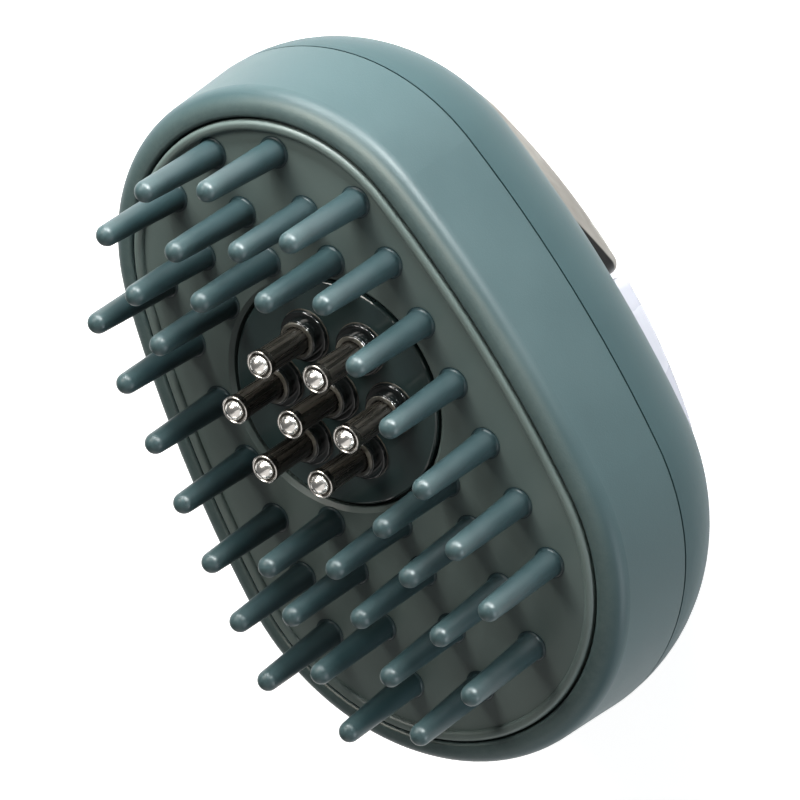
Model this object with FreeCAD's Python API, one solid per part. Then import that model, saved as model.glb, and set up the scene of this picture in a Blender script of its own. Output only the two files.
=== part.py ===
import FreeCAD, Part
import math
import os

Vector = FreeCAD.Vector

# Palm-held scalp applicator, lying on its back with the teeth up. Millimetres.
# X runs across the body, +Y points to the narrow end, +Z points out of the teeth.
# The origin is on the rear panel's rest face, under the middle of the body.

# Body outline: a narrow and a wide end arc joined by two flat side arcs
narrow_radius = 27.5
wide_radius = 31.9
centre_spacing = 36.5
side_radius = 165.0

# Levels and walls of the two shells
panel_lift = 3.1
rear_depth = 20.9
front_depth = 14.3
wall = 2.2
back_round = 19.9
front_draft = 1.3
rim_width = 4.6
rim_round = 2.7
rim_inner_round = 0.5
parting_gap = 0.3
tongue_depth = 1.5
tongue_thickness = 0.85
tongue_gap = 0.1
gasket_inset = 0.5
gasket_width = 0.7

# Comb plate, its lip and its seat in the front shell
plate_sink = 0.5
plate_thickness = 1.8
plate_gap = 0.3
lip_width = 1.4
lip_height = 0.7
lip_round = 0.6
ledge_width = 1.2
ledge_thickness = 1.6
hook_width = 5.0
hook_thickness = 1.1
hook_height = 0.8
hook_rows = (14.4, -10.8)

# Massage teeth: two straight columns, and chevron rows at both ends of the head.
# A column or pair tooth stands at a share of its row's room, from the head's opening to the plate's lip.
# A row stands at a share of the way from the head's opening to the end of the lip, and a column's
# end teeth at shares of the body's reach.
tooth_base_radius = 1.8
tooth_tip_radius = 1.4
tooth_length = 15.4
tooth_flange_radius = 2.4
tooth_flange = 1.4
tooth_hole_gap = 0.06
hole_chamfer = 0.3
column_ends = (0.5631, -0.488)
column_shares = (0.8596, 0.658, 0.3413, 0.3271, 0.5697, 0.743, 0.7898)
chevron = 3.0
narrow_rows = (0.1531, 0.4938, 0.8988)
narrow_pairs = (0.4391, 0.4743, 0.6657)
wide_rows = (0.079, 0.297, 0.5561, 0.8183)
wide_pairs = (0.2875, 0.4022, 0.4341, 0.5529)

# Retainer plate behind the teeth and its screws
retainer_thickness = 2.0
retainer_gap = 0.4
retainer_boss_radius = 2.0
small_screw_radius = 0.9
small_head_radius = 1.6
small_head_height = 1.2
small_screw_bite = 1.5
small_screw_depth = 2.7
slot_depth_share = 0.6
slot_width_share = 0.35
plate_skin = 0.8
thread_gap = 0.05

# Case screws, reached from the front under the comb plate
case_screw_inset = 7.2
case_screw_narrow_deg = 40.0
case_screw_wide_deg = -42.0
case_boss_radius = 3.0
case_screw_radius = 1.1
case_screw_length = 16.0
case_head_radius = 2.1
case_head_height = 1.5
head_gap = 0.2

# Liquid tank and the round probe head that closes it
head_middle_y = 5.7
head_radius = 15.2
head_hole_gap = 0.5
head_hole_chamfer = 0.55
head_sink = 0.3
head_thickness = 1.4
head_edge_round = 0.4
skirt_thickness = 2.0
skirt_depth = 5.6
tank_bore = 13.2
tank_wall = 1.4
tank_floor_round = 2.8
tank_depth = 16.8
tank_flange_width = 3.6
tank_flange = 1.6
tank_screw_count = 3
tank_screw_first_deg = 30.0
tank_screw_ring = 16.4
fit_gap = 0.3
seat_gap = 0.1
seal_wire_radius = 0.6
seal_drop = 3.0
seal_gap = 0.05

# Probes: one in the middle and a ring of six, each a tube with a sprung ball at its tip
probe_ring_radius = 8.33
probe_ring_count = 6
probe_first_deg = 90.0
probe_height = 9.5
tube_radius = 1.72
tube_bore = 0.7
tube_drop = 2.5
collar_radius = 2.85
collar_height = 2.3
collar_flange_radius = 3.55
collar_flange = 0.7
collar_round = 0.25
ball_radius = 1.38
ball_gap = 0.06
ball_lip = 0.2
ball_rim_radius = 1.88
ball_rim_rise = 0.4
ball_rim_height = 0.9
ball_rim_edge = 0.2
ball_rim_round = 0.08
ball_chamber = 1.45
spring_wire = 0.14
spring_radius = 1.1
spring_turns = 3
spring_length = 1.9

# Rear island: press paddle on the narrow half, pale panel on the wide half
island_narrow_radius = 16.0
island_wide_radius = 21.0
island_narrow_y = 21.1
island_wide_y = -15.3
island_side_radius = 82.0
island_split_y = 1.6
island_split_gap = 0.7
island_corner = 1.6
panel_round = 1.6
panel_wall = 1.6
panel_peg_radius = 1.5
panel_peg_places = ((9.0, -10.0), (-9.0, -10.0), (0.0, -27.0))
paddle_sink = 0.25
paddle_room = 0.2
paddle_thickness = 2.3
paddle_round = 1.1
pocket_step = 3.0
pocket_depth = 7.1
pocket_wall = 1.6
pocket_reach = 0.6
liner_thickness = 0.8
liner_top = 2.3
pin_radius = 1.0
pin_y = 28.8
pin_rise = 4.1
pin_bury = 1.3
pin_gap = 0.04
lug_radius = 1.9
lug_width = 3.0
lug_middle_x = 5.2

# Switch under the paddle, main board and its screws
switch_y = 9.5
nub_radius = 1.6
boot_radius = 3.2
boot_top_radius = 2.4
boot_flange_radius = 4.2
boot_wall = 0.7
boot_rise = 2.6
press_gap = 0.05
stem_radius = 1.75
stem_length = 4.9
stem_gap = 0.06
stem_spare = 0.35
paddle_travel_deg = 3.0
switch_size = 7.0
switch_corner = 0.7
switch_height = 3.5
switch_lift = 0.4
board_thickness = 1.6
board_half_width = 14.0
board_low_y = -4.6
board_high_y = 30.5
board_post_radius = 2.0
board_post_x = 8.4
board_post_rows = (1.2, 24.5)
board_corner = 1.5

# Battery and its tray on the wide end's floor
battery_width = 24.0
battery_length = 22.0
battery_height = 6.0
battery_corner = 1.5
battery_gap = 0.3
battery_middle_y = -17.6
tray_lift = 2.3
tray_floor = 1.2
tray_wall = 1.2
tray_wall_height = 3.2
rail_width = 2.0
rail_x = 6.0
rail_length = 17.0

# Charging socket and its board at the wide end
socket_width = 8.9
socket_height = 3.2
socket_length = 7.3
socket_wall = 0.3
socket_back = 0.9
socket_cut_depth = 6.6
socket_recess = 0.5
socket_gap = 0.2
socket_rise = 14.3
tongue_plate = 0.7
tongue_plate_width = 6.7
tongue_plate_length = 5.4
charge_board_thickness = 1.2
charge_board_half_width = 7.0
charge_board_length = 8.8
charge_board_gap = 0.53
charge_post_radius = 1.8
charge_post_x = 4.8
charge_post_inset = 2.4

# Vibration motor hung under the retainer plate
motor_radius = 6.0
motor_length = 17.0
motor_middle_x = -3.5
motor_y = -24.2
motor_drop = 9.2
motor_gap = 0.1
motor_corner = 0.8
cap_length = 2.0
cap_radius = 4.6
nose_radius = 2.2
nose_length = 1.0
shaft_radius = 0.75
shaft_length = 7.6
shaft_gap = 0.04
shaft_seat = 3.0
weight_radius = 6.4
weight_length = 4.6
weight_gap = 0.5
weight_hub_radius = 1.9
cradle_length = 12.0
cradle_split = 0.4
strap_wall = 1.4
strap_ear = 4.2
strap_ear_height = 2.0

# Pairs of leads from the main board to the battery, the motor and the charging board
lead_radius = 0.4
lead_spacing = 1.2
lead_turn = 1.4
battery_lead_rise = 4.2
battery_lead_y = -0.4
motor_lead_y = -3.7
charge_lead_x = 4.0
charge_lead_inset = 2.2

# Small allowance used when a cutting tool has to pass right through
past = 1.0
same_plane = 0.001

# Levels that follow from the sizes above
back_z = panel_lift
parting_z = back_z + rear_depth
rim_z = parting_z + front_depth
plate_z = rim_z - plate_sink
seat_z = plate_z - plate_thickness
ledge_z = seat_z - ledge_thickness
retainer_top = seat_z - tooth_flange
retainer_bottom = retainer_top - retainer_thickness
inner_floor_z = back_z + wall
pocket_floor_z = back_z + pocket_depth
pocket_inner_z = pocket_floor_z + pocket_wall
paddle_under_z = paddle_sink + paddle_thickness
pin_z = back_z + pin_rise
narrow_centre_y = (centre_spacing + wide_radius - narrow_radius) / 2
wide_centre_y = narrow_centre_y - centre_spacing
narrow_reach = narrow_centre_y + narrow_radius
wide_reach = wide_radius - wide_centre_y
lower_half = parting_z - parting_gap / 2
upper_half = parting_z + parting_gap / 2
plate_inset = rim_width + plate_gap
lip_inset = plate_inset + lip_width
ledge_inset = rim_width + ledge_width
retainer_inset = ledge_inset + retainer_gap
head_opening = head_radius + head_hole_gap
head_z = plate_z - head_sink
head_under_z = head_z - head_thickness
tank_top = head_under_z - seat_gap
tank_outer = tank_bore + tank_wall
ball_z = plate_z + probe_height
pocket_low_y = island_split_y - pocket_reach
lever = pin_y - switch_y
stem_travel = lever * math.radians(paddle_travel_deg)
stem_low = pocket_floor_z - boot_rise + boot_wall + press_gap
board_z = pocket_inner_z + switch_lift + switch_height
socket_z = back_z + socket_rise - socket_height / 2
charge_board_z = socket_z - charge_board_thickness
tray_z = inner_floor_z + tray_lift
battery_z = tray_z + tray_floor
motor_z = retainer_bottom - motor_drop
motor_low_x = motor_middle_x - motor_length / 2
motor_high_x = motor_middle_x + motor_length / 2
seal_ring_radius = tank_bore - seal_gap - seal_wire_radius
seal_z = head_under_z - seal_drop
spring_seat_z = ball_z - ball_radius - press_gap - spring_length


# Basic solids
def cylinder(radius, low, high, x=0.0, y=0.0):
    return Part.makeCylinder(radius, high - low, Vector(x, y, low))


def cross_cylinder(radius, low, high, y, z):
    return Part.makeCylinder(radius, high - low, Vector(low, y, z), Vector(1, 0, 0))


def box(low, high):
    size = Vector(*high) - Vector(*low)
    return Part.makeBox(size.x, size.y, size.z, Vector(*low))


def turned(profile, x=0.0, y=0.0):
    # A closed (radius, z) profile spun about a vertical axis. A middle point makes an arc.
    edges = []
    for start, through, end in profile:
        first = Vector(start[0], 0, start[1])
        last = Vector(end[0], 0, end[1])
        if through is None:
            edges.append(Part.LineSegment(first, last).toShape())
        else:
            edges.append(Part.Arc(first, Vector(through[0], 0, through[1]), last).toShape())
    solid = Part.Face(Part.Wire(edges)).revolve(Vector(0, 0, 0), Vector(0, 0, 1), 360)
    solid.translate(Vector(x, y, 0))
    return solid


def lines(points):
    closed = list(points) + [points[0]]
    return [(closed[i], None, closed[i + 1]) for i in range(len(points))]


def edges_at(shape, z):
    found = []
    for edge in shape.Edges:
        limits = edge.BoundBox
        if abs(limits.ZMin - z) < same_plane and abs(limits.ZMax - z) < same_plane:
            found.append(edge)
    return found


def upright_edges(shape, y):
    found = []
    for edge in shape.Edges:
        limits = edge.BoundBox
        if limits.ZLength > past and limits.XLength < same_plane and limits.YLength < same_plane:
            if abs(limits.YMin - y) < same_plane:
                found.append(edge)
    return found


def rounded_box(low, high, corner):
    block = box(low, high)
    uprights = [edge for edge in block.Edges if edge.BoundBox.ZLength > high[2] - low[2] - same_plane]
    return block.makeFillet(corner, uprights)


def screw(x, y, head_z_low, head_z_high, radius, head_radius, tip_z):
    # The head lies between its two levels and the shank runs from it to the tip.
    shank_low = min(head_z_low, tip_z)
    shank_high = max(head_z_high, tip_z)
    head = cylinder(head_radius, head_z_low, head_z_high, x, y)
    body = head.fuse(cylinder(radius, shank_low, shank_high, x, y)).removeSplitter()
    outer = head_z_low if tip_z > head_z_high else head_z_high
    inner = outer + (1 if tip_z > head_z_high else -1) * (head_z_high - head_z_low) * slot_depth_share
    slot_width = head_radius * slot_width_share
    low = (x - head_radius, y - slot_width / 2, min(outer, inner))
    high = (x + head_radius, y + slot_width / 2, max(outer, inner))
    return body.cut(box(low, high))


# Egg outlines, drawn in by an inset
def egg(narrow, wide, narrow_y, wide_y, side):
    # Two end arcs and the two side arcs that touch both of them.
    to_narrow = side - narrow
    to_wide = side - wide
    apart = to_wide**2 - to_narrow**2 + narrow_y**2 - wide_y**2
    side_y = apart / (2 * (narrow_y - wide_y))
    side_x = math.sqrt(to_narrow**2 - (side_y - narrow_y) ** 2)
    return {
        "narrow": (narrow_y, narrow),
        "wide": (wide_y, wide),
        "side": (side_x, side_y, side),
        "angles": (math.atan2(narrow_y - side_y, side_x), math.atan2(wide_y - side_y, side_x)),
    }


body = egg(narrow_radius, wide_radius, narrow_centre_y, wide_centre_y, side_radius)
island = egg(island_narrow_radius, island_wide_radius, island_narrow_y, island_wide_y, island_side_radius)


def side_point(shape, angle, inset, z, mirror):
    side_x, side_y, side = shape["side"]
    reach = side - inset
    return Vector(mirror * (reach * math.cos(angle) - side_x), side_y + reach * math.sin(angle), z)


def outline(inset, z, shape=body):
    narrow_angle, wide_angle = shape["angles"]
    angles = (narrow_angle, (narrow_angle + wide_angle) / 2, wide_angle)
    right = [side_point(shape, angle, inset, z, 1) for angle in angles]
    left = [side_point(shape, angle, inset, z, -1) for angle in angles]
    narrow_y, narrow = shape["narrow"]
    wide_y, wide = shape["wide"]
    arcs = [
        Part.Arc(left[0], Vector(0, narrow_y + narrow - inset, z), right[0]),
        Part.Arc(right[0], right[1], right[2]),
        Part.Arc(right[2], Vector(0, wide_y - wide + inset, z), left[2]),
        Part.Arc(left[2], left[1], left[0]),
    ]
    return Part.Wire([arc.toShape() for arc in arcs])


def prism(inset, low, high, shape=body):
    return Part.Face(outline(inset, low, shape)).extrude(Vector(0, 0, high - low))


def band(inset, width, low, high):
    return prism(inset, low, high).cut(prism(inset + width, low - past, high + past))


def half_width(inset, y, shape=body):
    narrow_angle, wide_angle = shape["angles"]
    for end, angle, direction in (("narrow", narrow_angle, 1), ("wide", wide_angle, -1)):
        middle, radius = shape[end]
        if direction * (y - side_point(shape, angle, inset, 0, 1).y) > 0:
            return math.sqrt((radius - inset) ** 2 - (y - middle) ** 2)
    side_x, side_y, side = shape["side"]
    return math.sqrt((side - inset) ** 2 - (y - side_y) ** 2) - side_x


def island_slice(inset, low, high, low_y, high_y):
    slab = box((-wide_radius, low_y, low - past), (wide_radius, high_y, high + past))
    return prism(inset, low, high, island).common(slab)


# Places that repeat
def on_row(share, y):
    # Distance from the middle line, between the head's opening and the plate's lip.
    inner = math.sqrt(max(head_opening**2 - (y - head_middle_y) ** 2, 0))
    return inner + share * (half_width(lip_inset, y) - inner)


def column_places():
    first = column_ends[0] * narrow_reach
    pitch = (first - column_ends[1] * wide_reach) / (len(column_shares) - 1)
    rows = [first - pitch * index for index in range(len(column_shares))]
    return [(on_row(share, y), y) for share, y in zip(column_shares, rows)]


def row_levels(shares, direction, end):
    start = head_middle_y + direction * head_opening
    return [start + share * (direction * (end - lip_inset) - start) for share in shares]


def pair_places(rows, shares, direction):
    # The tooth beside each row's middle tooth, which leans back towards the head.
    leaning = [y - direction * chevron for y in rows]
    return [(on_row(share, y), y) for share, y in zip(shares, leaning)]


narrow_levels = row_levels(narrow_rows, 1, narrow_reach)
wide_levels = row_levels(wide_rows, -1, wide_reach)
narrow_sides = pair_places(narrow_levels, narrow_pairs, 1)
wide_sides = pair_places(wide_levels, wide_pairs, -1)


def tooth_places():
    beside = column_places() + narrow_sides + wide_sides
    places = [(side * x, y) for x, y in beside for side in (1, -1)]
    return places + [(0.0, y) for y in narrow_levels + wide_levels]


def case_screw_places():
    places = []
    ends = (
        (narrow_centre_y, narrow_radius - case_screw_inset, case_screw_narrow_deg),
        (wide_centre_y, wide_radius - case_screw_inset, case_screw_wide_deg),
    )
    for centre_y, reach, degrees in ends:
        angle = math.radians(degrees)
        places += [(side * reach * math.cos(angle), centre_y + reach * math.sin(angle)) for side in (1, -1)]
    return places


def retainer_screw_places():
    # Midway between a column tooth and a pair tooth, near each end.
    places = []
    columns = column_places()
    for column, pair in ((columns[0], narrow_sides[0]), (columns[-2], wide_sides[-2])):
        x = (column[0] + pair[0]) / 2
        y = (column[1] + pair[1]) / 2
        places += [(x, y), (-x, y)]
    return places


def head_ring(radius, count, first_deg):
    angles = [math.radians(first_deg + 360 / count * index) for index in range(count)]
    return [(radius * math.cos(angle), head_middle_y + radius * math.sin(angle)) for angle in angles]


def tank_screw_places():
    return head_ring(tank_screw_ring, tank_screw_count, tank_screw_first_deg)


def probe_places():
    return [(0.0, head_middle_y)] + head_ring(probe_ring_radius, probe_ring_count, probe_first_deg)


def hook_places():
    return [(side, y) for y in hook_rows for side in (1, -1)]


def hook_edge(y):
    # Outer face of a hook's tab, clear of the slanting ledge over the hook's whole width.
    ends = (y - hook_width / 2, y + hook_width / 2)
    return min(half_width(ledge_inset, end) for end in ends) - plate_gap


def back_inset(z, depth=0.0):
    # How far the rounded back has drawn in at a level, at a depth in its wall.
    drop = max(back_z + back_round - z, 0)
    radius = back_round - depth
    return depth + radius - math.sqrt(radius**2 - drop**2)


def charge_board_ends():
    # The outer end keeps clear of the hollow of the rounded back.
    reach = wide_radius - back_inset(charge_board_z, wall)
    low = wide_centre_y - math.sqrt(reach**2 - charge_board_half_width**2) + charge_board_gap
    return low, low + charge_board_length


# Outer block of the rear shell, also the tool that shapes what lies on the back
def rear_block():
    block = prism(0, back_z, lower_half)
    return block.makeFillet(back_round, edges_at(block, back_z))


def front_shell():
    lean = front_draft / (rim_z - upper_half)
    shell = Part.makeLoft([outline(0, upper_half), outline(front_draft, rim_z)], True, True)
    shell = shell.makeFillet(rim_round, edges_at(shell, rim_z))
    low_inset = wall - lean * past
    high_inset = wall + lean * (ledge_z - upper_half)
    inside = [outline(low_inset, upper_half - past), outline(high_inset, ledge_z)]
    shell = shell.cut(Part.makeLoft(inside, True, True))
    shell = shell.cut(prism(ledge_inset, ledge_z - past, seat_z + past))
    shell = shell.cut(prism(rim_width, seat_z, rim_z + past))
    opening = outline(rim_width, rim_z)
    inner_rim = [edge for edge in edges_at(shell, rim_z) if edge.distToShape(opening)[0] < same_plane]
    shell = shell.makeFillet(rim_inner_round, inner_rim)
    shell = shell.fuse(band(wall - tongue_thickness, tongue_thickness, parting_z - tongue_depth, ledge_z))
    for x, y in case_screw_places():
        shell = shell.fuse(cylinder(case_boss_radius, parting_z, seat_z, x, y))
    for x, y in case_screw_places():
        shell = shell.cut(cylinder(case_screw_radius + head_gap, parting_z - past, seat_z + past, x, y))
        sunk = seat_z - case_head_height - head_gap
        shell = shell.cut(cylinder(case_head_radius + head_gap, sunk, seat_z + past, x, y))
    return shell.removeSplitter()


def rear_shell():
    outer = rear_block()
    hollow = prism(wall, inner_floor_z, parting_z + past)
    hollow = hollow.makeFillet(back_round - wall, edges_at(hollow, inner_floor_z))
    shell = outer.cut(hollow)
    step = wall - tongue_thickness - tongue_gap
    shell = shell.cut(prism(step, parting_z - tongue_depth - head_gap, parting_z + past))
    well_low_y = pocket_low_y - pocket_wall
    well = island_slice(pocket_step - pocket_wall, back_z, pocket_inner_z, well_low_y, narrow_reach)
    shell = shell.fuse(well.common(outer))
    posts = [(x, y, case_boss_radius, parting_z) for x, y in case_screw_places()]
    posts += [(x, y, board_post_radius, board_z) for x, y in board_post_places()]
    post_y = charge_board_ends()[1] - charge_post_inset
    posts += [(side * charge_post_x, post_y, charge_post_radius, charge_board_z) for side in (1, -1)]
    tall_block = outer.fuse(prism(wall, lower_half - past, parting_z + past))
    for x, y, radius, top in posts:
        shell = shell.fuse(cylinder(radius, back_z, top, x, y).common(tall_block))
    shell = shell.cut(island_slice(pocket_step, back_z - past, pocket_floor_z, pocket_low_y, narrow_reach))
    shell = shell.cut(cylinder(stem_radius + fit_gap, back_z, pocket_inner_z + past, 0, switch_y))
    pin_half = half_width(pocket_step, pin_y, island) + pin_bury
    shell = shell.cut(cross_cylinder(pin_radius + pin_gap, -pin_half, pin_half, pin_y, pin_z))
    for x, y in case_screw_places():
        pilot_low = seat_z - case_screw_length - past
        shell = shell.cut(cylinder(case_screw_radius + thread_gap, pilot_low, parting_z + past, x, y))
    for x, y in board_post_places():
        pilot_low = board_z - small_screw_depth
        shell = shell.cut(cylinder(small_screw_radius + thread_gap, pilot_low, board_z + past, x, y))
    for x, y in panel_peg_places:
        shell = shell.cut(cylinder(panel_peg_radius + seal_gap, back_z - past, inner_floor_z + past, x, y))
    shell = shell.cut(socket_prism(socket_gap, -wide_reach - past, -wide_reach + socket_cut_depth))
    return shell.removeSplitter()


def shell_gasket():
    return band(gasket_inset, gasket_width, lower_half, upper_half)


def plate_hole(radius, chamfer, x, y):
    # A hole through the comb plate with a chamfered mouth.
    mouth = radius + chamfer
    low = seat_z - past
    high = plate_z + past
    step = plate_z - chamfer
    points = [(0, low), (radius, low), (radius, step), (mouth, plate_z), (mouth, high), (0, high)]
    return turned(lines(points), x, y)


def comb_plate():
    plate = prism(plate_inset, seat_z, plate_z)
    lip = band(plate_inset, lip_width, plate_z - same_plane, plate_z + lip_height)
    lip = lip.makeFillet(lip_round, edges_at(lip, plate_z + lip_height))
    plate = plate.fuse(lip)
    for x, y in retainer_screw_places():
        plate = plate.fuse(cylinder(retainer_boss_radius, retainer_top, seat_z, x, y))
    barb_top = ledge_z - head_gap
    barb_low = barb_top - hook_height
    for side, y in hook_places():
        edge = hook_edge(y)
        low_y = y - hook_width / 2
        high_y = y + hook_width / 2
        tab = box((edge - hook_thickness, low_y, barb_low), (edge, high_y, seat_z))
        hook = tab.fuse(box((edge, low_y, barb_low), (edge + hook_height, high_y, barb_top)))
        if side < 0:
            hook = hook.mirror(Vector(0, 0, 0), Vector(1, 0, 0))
        plate = plate.fuse(hook)
    tooth_hole = tooth_base_radius + tooth_hole_gap
    tools = [plate_hole(tooth_hole, hole_chamfer, x, y) for x, y in tooth_places()]
    tools.append(plate_hole(head_opening, head_hole_chamfer, 0, head_middle_y))
    pilot_top = plate_z - plate_skin
    for x, y in retainer_screw_places():
        tools.append(cylinder(small_screw_radius + thread_gap, retainer_top - past, pilot_top, x, y))
    return plate.cut(Part.makeCompound(tools)).removeSplitter()


def massage_tooth(x, y):
    tip = plate_z + tooth_length
    crown = tip - tooth_tip_radius
    slant = tooth_tip_radius * math.sqrt(0.5)
    points = [(0, retainer_top), (tooth_flange_radius, retainer_top), (tooth_flange_radius, seat_z),
              (tooth_base_radius, seat_z), (tooth_base_radius, plate_z), (tooth_tip_radius, crown)]
    profile = lines(points)[:-1]
    profile.append(((tooth_tip_radius, crown), (slant, crown + slant), (0, tip)))
    profile.append(((0, tip), None, (0, retainer_top)))
    return turned(profile, x, y)


def retainer_plate():
    low = retainer_bottom - past
    high = retainer_top + past
    plate = prism(retainer_inset, retainer_bottom, retainer_top)
    tools = [cylinder(tank_outer + head_gap, low, high, 0, head_middle_y)]
    tools += [cylinder(case_boss_radius + fit_gap, low, high, x, y) for x, y in case_screw_places()]
    tools += [cylinder(small_screw_radius + head_gap, low, high, x, y) for x, y in retainer_screw_places()]
    for side, y in hook_places():
        edge = hook_edge(y) - hook_thickness - fit_gap
        reach = hook_width / 2 + fit_gap
        slot = box((edge, y - reach, low), (edge + wide_radius, y + reach, high))
        if side < 0:
            slot = slot.mirror(Vector(0, 0, 0), Vector(1, 0, 0))
        tools.append(slot)
    pilot_top = retainer_bottom + small_screw_bite + thread_gap
    for x, y in tank_screw_places() + strap_screw_places():
        tools.append(cylinder(small_screw_radius + thread_gap, low, pilot_top, x, y))
    for tool in tools:
        plate = plate.cut(tool)
    return plate.removeSplitter()


def tank_cup():
    floor = tank_top - tank_depth
    flange_low = retainer_bottom - tank_flange
    cup = cylinder(tank_outer, floor, tank_top, 0, head_middle_y)
    cup = cup.fuse(cylinder(tank_outer + tank_flange_width, flange_low, retainer_bottom, 0, head_middle_y))
    hollow = cylinder(tank_bore, floor + tank_wall, tank_top + past, 0, head_middle_y)
    hollow = hollow.makeFillet(tank_floor_round, edges_at(hollow, floor + tank_wall))
    cup = cup.cut(hollow)
    for x, y in tank_screw_places():
        hole = cylinder(small_screw_radius + head_gap, flange_low - past, retainer_bottom + past, x, y)
        cup = cup.cut(hole)
    return cup.removeSplitter()


def probe_head():
    skirt_outer = tank_bore - fit_gap
    groove = seal_ring_radius - seal_wire_radius
    head = cylinder(head_radius, head_under_z, head_z, 0, head_middle_y)
    head = head.makeFillet(head_edge_round, edges_at(head, head_z))
    skirt_low = head_under_z - skirt_depth
    skirt = cylinder(skirt_outer, skirt_low, head_under_z, 0, head_middle_y)
    skirt = skirt.cut(cylinder(skirt_outer - skirt_thickness, skirt_low - past, head_z, 0, head_middle_y))
    slot_half = seal_wire_radius + seal_gap
    slot = cylinder(skirt_outer + past, seal_z - slot_half, seal_z + slot_half, 0, head_middle_y)
    slot = slot.cut(cylinder(groove - seal_gap, 0, rim_z, 0, head_middle_y))
    head = head.fuse(skirt.cut(slot))
    for x, y in probe_places():
        head = head.cut(cylinder(tube_radius + thread_gap, head_under_z - past, head_z + past, x, y))
    return head.removeSplitter()


def head_seal():
    return Part.makeTorus(seal_ring_radius, seal_wire_radius, Vector(0, head_middle_y, seal_z))


def probe_collar(x, y):
    bore = tube_radius + thread_gap
    flange_top = head_z + collar_flange
    top = head_z + collar_height
    soft = collar_round
    bend = soft * (1 - math.sqrt(0.5))
    return turned([
        ((bore, head_z), None, (collar_flange_radius, head_z)),
        ((collar_flange_radius, head_z), None, (collar_flange_radius, flange_top - soft)),
        ((collar_flange_radius, flange_top - soft), (collar_flange_radius - bend, flange_top - bend),
         (collar_flange_radius - soft, flange_top)),
        ((collar_flange_radius - soft, flange_top), None, (collar_radius, flange_top)),
        ((collar_radius, flange_top), None, (collar_radius, top - soft)),
        ((collar_radius, top - soft), (collar_radius - bend, top - bend), (collar_radius - soft, top)),
        ((collar_radius - soft, top), None, (bore + soft, top)),
        ((bore + soft, top), None, (bore, top - soft)),
        ((bore, top - soft), None, (bore, head_z)),
    ], x, y)


def probe_tube(x, y):
    low = head_under_z - tube_drop
    top = ball_z + ball_rim_rise - ball_rim_height
    return turned(lines([(tube_bore, low), (tube_radius, low), (tube_radius, top), (ball_chamber, top),
                         (ball_chamber, spring_seat_z), (tube_bore, spring_seat_z)]), x, y)


def ball_rim(x, y):
    # A ring whose inner lip holds the ball just above its middle, in the bottom of a flared mouth.
    top = ball_z + ball_rim_rise
    low = top - ball_rim_height
    seat = ball_radius + ball_gap
    lip = math.sqrt(seat**2 - ball_lip**2)
    middle_rise = ball_lip / 2
    middle = math.sqrt(seat**2 - middle_rise**2)
    edge = ball_rim_radius - ball_rim_edge
    return turned([
        ((ball_chamber, low), None, (ball_rim_radius, low)),
        ((ball_rim_radius, low), None, (ball_rim_radius, top - ball_rim_round)),
        ((ball_rim_radius, top - ball_rim_round), None, (ball_rim_radius - ball_rim_round, top)),
        ((ball_rim_radius - ball_rim_round, top), None, (edge, top)),
        ((edge, top), None, (lip, ball_z + ball_lip)),
        ((lip, ball_z + ball_lip), (middle, ball_z + middle_rise), (seat, ball_z)),
        ((seat, ball_z), None, (ball_chamber, ball_z)),
        ((ball_chamber, ball_z), None, (ball_chamber, low)),
    ], x, y)


def ball_spring(x, y):
    # The wire climbs in half-turn arcs, with both ends lying flat against their seats.
    low = spring_seat_z + spring_wire
    climb = spring_length - 2 * spring_wire
    steps = 4 * spring_turns
    points = []
    for index in range(2 * steps + 1):
        angle = 2 * math.pi * spring_turns * index / (2 * steps)
        z = low + climb * index / (2 * steps)
        points.append(Vector(x + spring_radius * math.cos(angle), y + spring_radius * math.sin(angle), z))
    arcs = [Part.Arc(points[2 * i], points[2 * i + 1], points[2 * i + 2]).toShape() for i in range(steps)]
    start = Part.Wire([Part.makeCircle(spring_wire, points[0], Vector(0, 1, 0))])
    return Part.Wire(arcs).makePipeShell([start], True, False)


def island_piece(low, high, low_y, high_y, cut_y, edge_round):
    piece = island_slice(0, low, high, low_y, high_y)
    piece = piece.makeFillet(island_corner, upright_edges(piece, cut_y))
    return piece.makeFillet(edge_round, edges_at(piece, low))


def rear_panel():
    end_y = island_split_y - island_split_gap / 2
    top = back_z + back_round
    panel = island_piece(0, top, -wide_reach, end_y, end_y, panel_round)
    space = island_slice(panel_wall, panel_wall, top, -wide_reach, end_y - panel_wall)
    panel = panel.cut(space).cut(rear_block())
    for x, y in panel_peg_places:
        panel = panel.fuse(cylinder(panel_peg_radius, panel_wall - same_plane, inner_floor_z, x, y))
    lowest = sorted(panel.Solids, key=lambda solid: solid.BoundBox.ZMin)
    return lowest[0].removeSplitter()


def press_paddle():
    # A flat plate whose edges reach down to the back, less the room that a full press takes up.
    start_y = island_split_y + island_split_gap / 2
    block = island_piece(paddle_sink, pin_z, start_y, narrow_reach, start_y, paddle_round)
    resting = rear_block()
    resting.translate(Vector(0, 0, -paddle_room))
    pressed = resting.copy()
    pressed.rotate(Vector(0, pin_y, pin_z), Vector(1, 0, 0), paddle_travel_deg)
    plate = block.common(box((-wide_radius, 0, 0), (wide_radius, narrow_reach, paddle_under_z)))
    paddle = plate.fuse(block.cut(resting).cut(pressed))
    for side in (1, -1):
        middle = side * lug_middle_x
        lug = cross_cylinder(lug_radius, middle - lug_width / 2, middle + lug_width / 2, pin_y, pin_z)
        web = box((middle - lug_width / 2, pin_y - lug_radius, paddle_under_z - same_plane),
                  (middle + lug_width / 2, pin_y + lug_radius, pin_z))
        paddle = paddle.fuse(lug.fuse(web))
    nub_tip = pocket_floor_z - boot_rise - press_gap
    paddle = paddle.fuse(cylinder(nub_radius, paddle_under_z - same_plane, nub_tip, 0, switch_y))
    paddle = paddle.cut(cross_cylinder(pin_radius + pin_gap, -wide_radius, wide_radius, pin_y, pin_z))
    return paddle.removeSplitter()


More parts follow.
